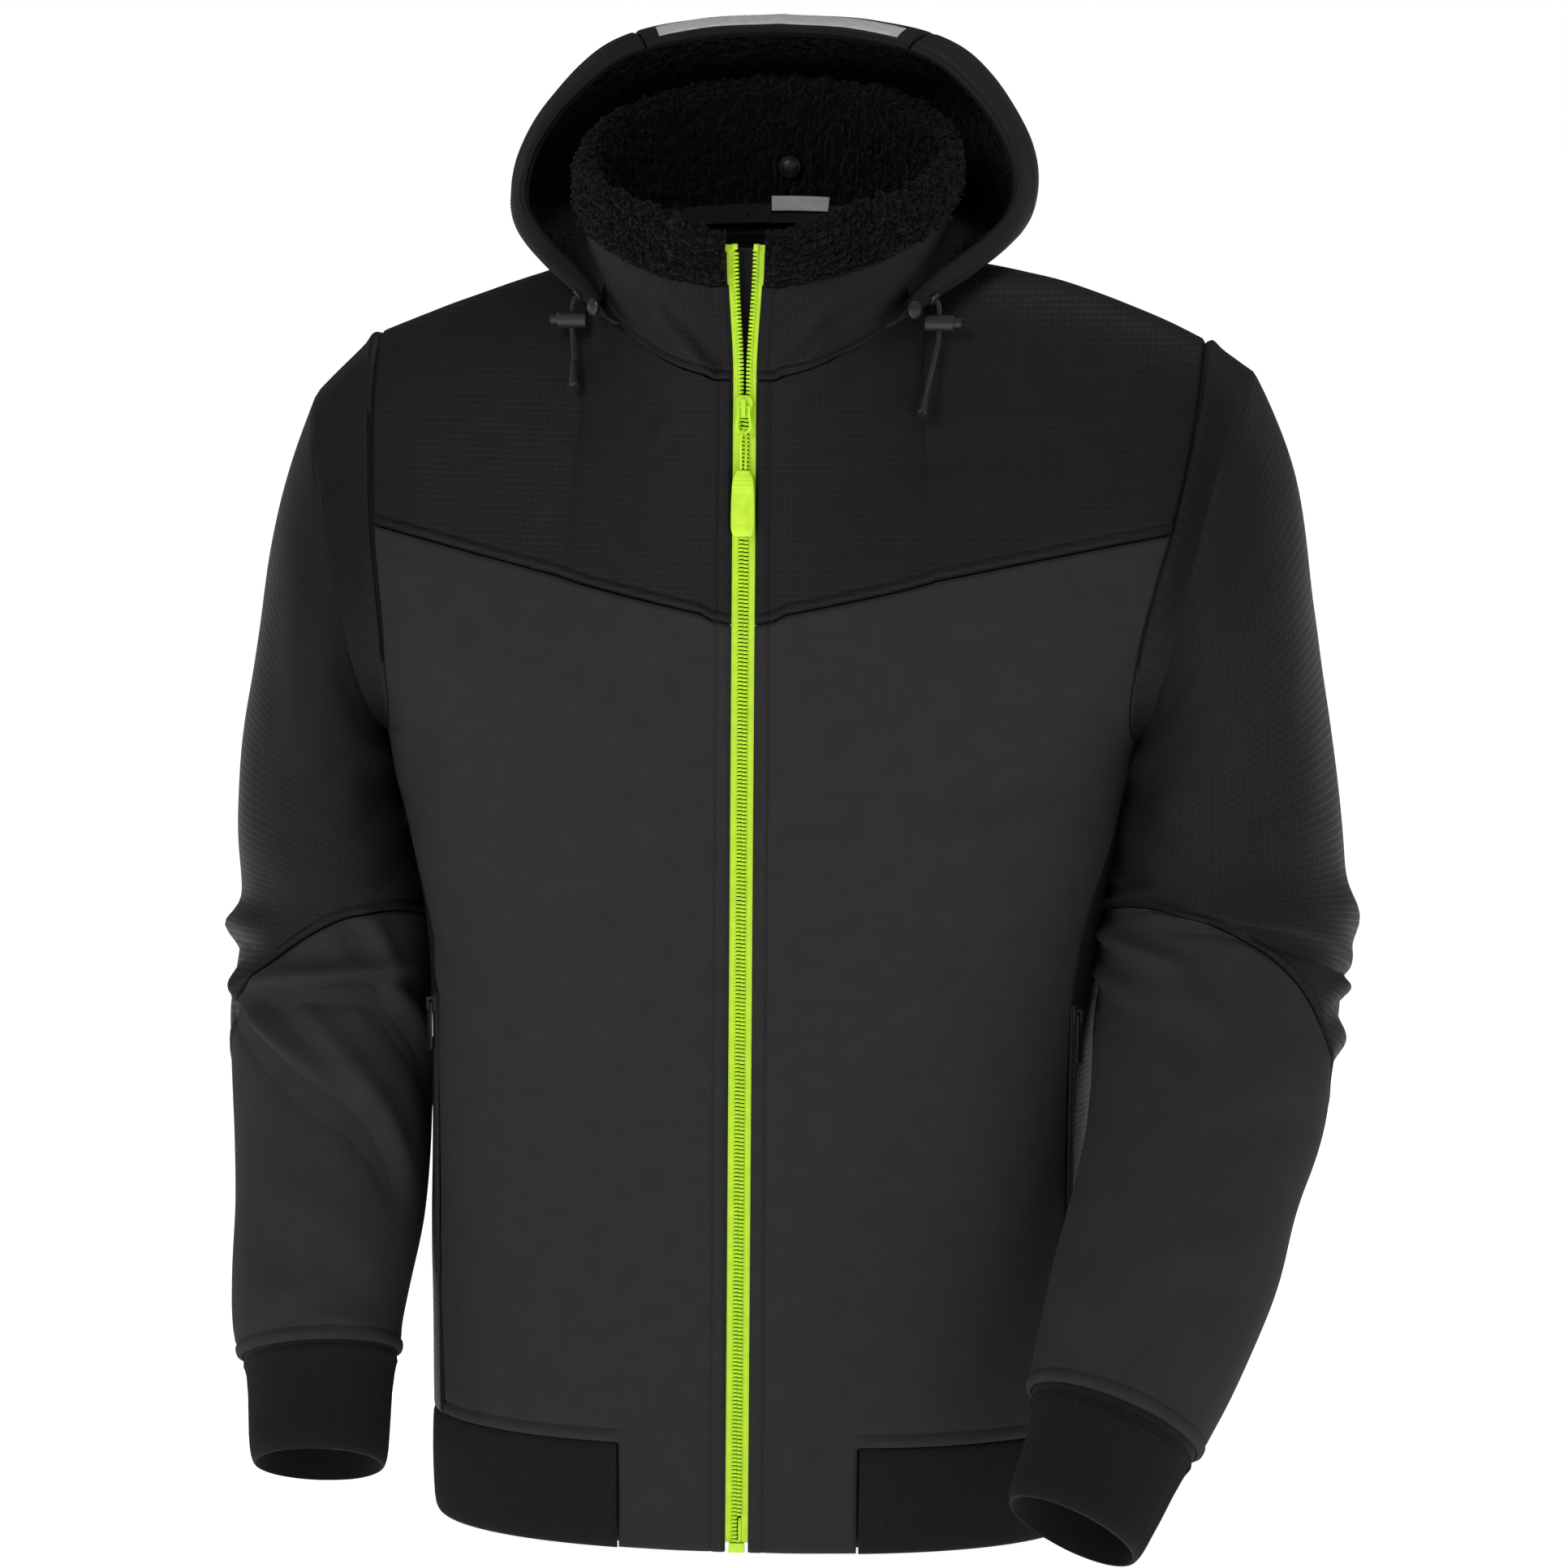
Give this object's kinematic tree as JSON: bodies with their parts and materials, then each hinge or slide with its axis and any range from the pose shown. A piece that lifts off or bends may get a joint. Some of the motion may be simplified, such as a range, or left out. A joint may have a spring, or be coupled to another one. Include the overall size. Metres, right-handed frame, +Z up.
{
  "type": "hooded softshell work jacket",
  "caption": "Hooded zip-front softshell work jacket with ripstop yokes, sherpa-lined collar and hood, rib cuffs and hem, corded hood and side pockets.",
  "frame": {"origin": "centre of the neck base, where the jacket hangs on its wearer", "axes": "+Z up, -Y out of the front (zip side), +X towards the wearer's left"},
  "size_m": [0.6458, 0.3502, 0.8585],
  "materials": {
    "softshell": "charcoal woven stretch softshell, matt",
    "ripstop": "black ripstop nylon with a fine raised grid, slight sheen",
    "sherpa": "black sherpa pile",
    "rib_knit": "black rib knit",
    "lining_fleece": "black brushed fleece",
    "facing": "black plain woven facing and binding tape",
    "drawcord": "black braided cord",
    "zip_tape": "neon yellow-green woven tape and moulded teeth",
    "zip_metal": "neon yellow-green enamelled slider and fittings",
    "reflective": "light grey reflective tape",
    "label": "pale woven label, blank",
    "pull_rubber": "black moulded rubber",
    "neon_rubber": "neon yellow-green moulded rubber and cord",
    "black_plastic": "black moulded plastic",
    "gunmetal": "dark gunmetal"
  },
  "bodies": {
    "coat": {"back_lining": "lining_fleece", "back_panel": "softshell", "back_yoke": "ripstop", "collar_outer": "ripstop", "collar_sherpa": "sherpa", "cord_end_left": "gunmetal", "cord_end_right": "gunmetal", "cord_eyelet_left": "gunmetal", "cord_eyelet_right": "gunmetal", "cord_lock_left": "gunmetal", "cord_lock_right": "gunmetal", "cuff_rib_left": "rib_knit", "cuff_rib_right": "rib_knit", "drawcord_left": "drawcord", "drawcord_right": "drawcord", "forearm_left": "softshell", "forearm_right": "softshell", "front_lining_left": "lining_fleece", "front_lining_right": "lining_fleece", "front_panel_left": "softshell", "front_panel_right": "softshell", "front_yoke_left": "ripstop", "front_yoke_right": "ripstop", "hem_rib_back": "rib_knit", "hem_rib_left": "rib_knit", "hem_rib_right": "rib_knit", "hood_centre_panel": "ripstop", "hood_facing": "facing", "hood_lining": "sherpa", "hood_reflective_strip": "reflective", "hood_side_left": "ripstop", "hood_side_right": "ripstop", "hood_snap_left": "gunmetal", "hood_snap_right": "gunmetal", "neck_label": "label", "neck_tape": "facing", "pocket_bag_left": "lining_fleece", "pocket_bag_right": "lining_fleece", "pocket_zip_left": "black_plastic", "pocket_zip_right": "black_plastic", "side_panel_left": "ripstop", "side_panel_right": "ripstop", "sleeve_lining_left": "lining_fleece", "sleeve_lining_right": "lining_fleece", "upper_sleeve_left": "ripstop", "upper_sleeve_right": "ripstop", "zip_guard": "facing", "zip_retainer_box": "zip_metal", "zip_tape_left": "zip_tape", "zip_tape_right": "zip_tape"},
    "zip_slider": {"zip_slider": "zip_metal"},
    "zip_pull_link": {"zip_pull_link": "zip_metal"},
    "zip_pull_tab": {"zip_pull_loop": "neon_rubber", "zip_pull_tab": "neon_rubber"},
    "pocket_slider_right": {"pocket_slider_right": "gunmetal"},
    "pocket_pull_right": {"pocket_pull_right": "pull_rubber"},
    "lock_plunger_right": {"lock_plunger_right": "black_plastic"},
    "pocket_slider_left": {"pocket_slider_left": "gunmetal"},
    "pocket_pull_left": {"pocket_pull_left": "pull_rubber"},
    "lock_plunger_left": {"lock_plunger_left": "black_plastic"}
  },
  "joints": [
    {"name": "zip_slide", "type": "slide", "parent": "coat", "child": "zip_slider", "axis": [0, 0.016, 0.9999], "range_m": [-0.634, 0.081]},
    {"name": "zip_pull_swing", "type": "hinge", "parent": "zip_slider", "child": "zip_pull_link", "pos_m": [0, -0.11958, -0.05202], "axis": [-1, 0, 0], "range_deg": [0, 150]},
    {"name": "zip_tab_swing", "type": "hinge", "parent": "zip_pull_link", "child": "zip_pull_tab", "pos_m": [0, -0.11981, -0.06642], "axis": [-1, 0, 0], "range_deg": [0, 55]},
    {"name": "pocket_slide_right", "type": "slide", "parent": "coat", "child": "pocket_slider_right", "axis": [0.0069, -0.0086, -0.9999], "range_m": [0, 0.154]},
    {"name": "pocket_pull_swing_right", "type": "hinge", "parent": "pocket_slider_right", "child": "pocket_pull_right", "pos_m": [-0.18702, -0.0525, -0.40002], "axis": [-0.4654, 0.885, -0.0108], "range_deg": [0, 50]},
    {"name": "lock_press_right", "type": "slide", "parent": "coat", "child": "lock_plunger_right", "axis": [1, 0, 0], "range_m": [0, 0.002], "stiffness_N_per_m": 300, "springref_m": -0.001},
    {"name": "pocket_slide_left", "type": "slide", "parent": "coat", "child": "pocket_slider_left", "axis": [-0.0069, -0.0086, -0.9999], "range_m": [0, 0.154]},
    {"name": "pocket_pull_swing_left", "type": "hinge", "parent": "pocket_slider_left", "child": "pocket_pull_left", "pos_m": [0.18702, -0.0525, -0.40002], "axis": [-0.4654, -0.885, 0.0108], "range_deg": [0, 18]},
    {"name": "lock_press_left", "type": "slide", "parent": "coat", "child": "lock_plunger_left", "axis": [-1, 0, 0], "range_m": [0, 0.002], "stiffness_N_per_m": 300, "springref_m": -0.001}
  ]
}
